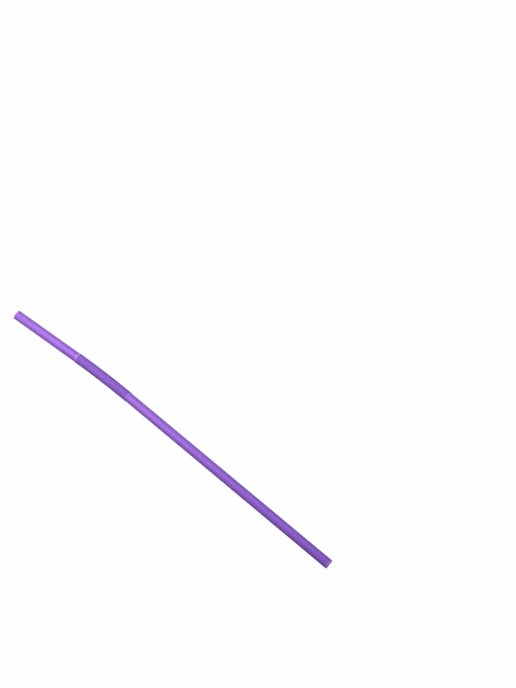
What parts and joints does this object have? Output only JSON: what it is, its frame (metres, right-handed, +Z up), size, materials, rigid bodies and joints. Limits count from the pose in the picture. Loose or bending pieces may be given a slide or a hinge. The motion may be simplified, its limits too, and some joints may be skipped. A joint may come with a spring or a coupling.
{
  "type": "drinking straw",
  "caption": "Flexible drinking straw: one thin plastic tube with a pushed-together bellows near its mouth end, slightly bent, lying at rest.",
  "frame": {"origin": "centre of the bounding box's bottom face, on the surface that the straw lies on", "axes": "+X along the foot tube towards the mouth end, +Z up, +Y the side that the bellows bends the mouth end to"},
  "size_m": [0.2478, 0.0112, 0.0064],
  "materials": {
    "purple_polypropylene": "satin"
  },
  "bodies": {
    "root": {"drinking_straw": "purple_polypropylene"}
  },
  "joints": []
}
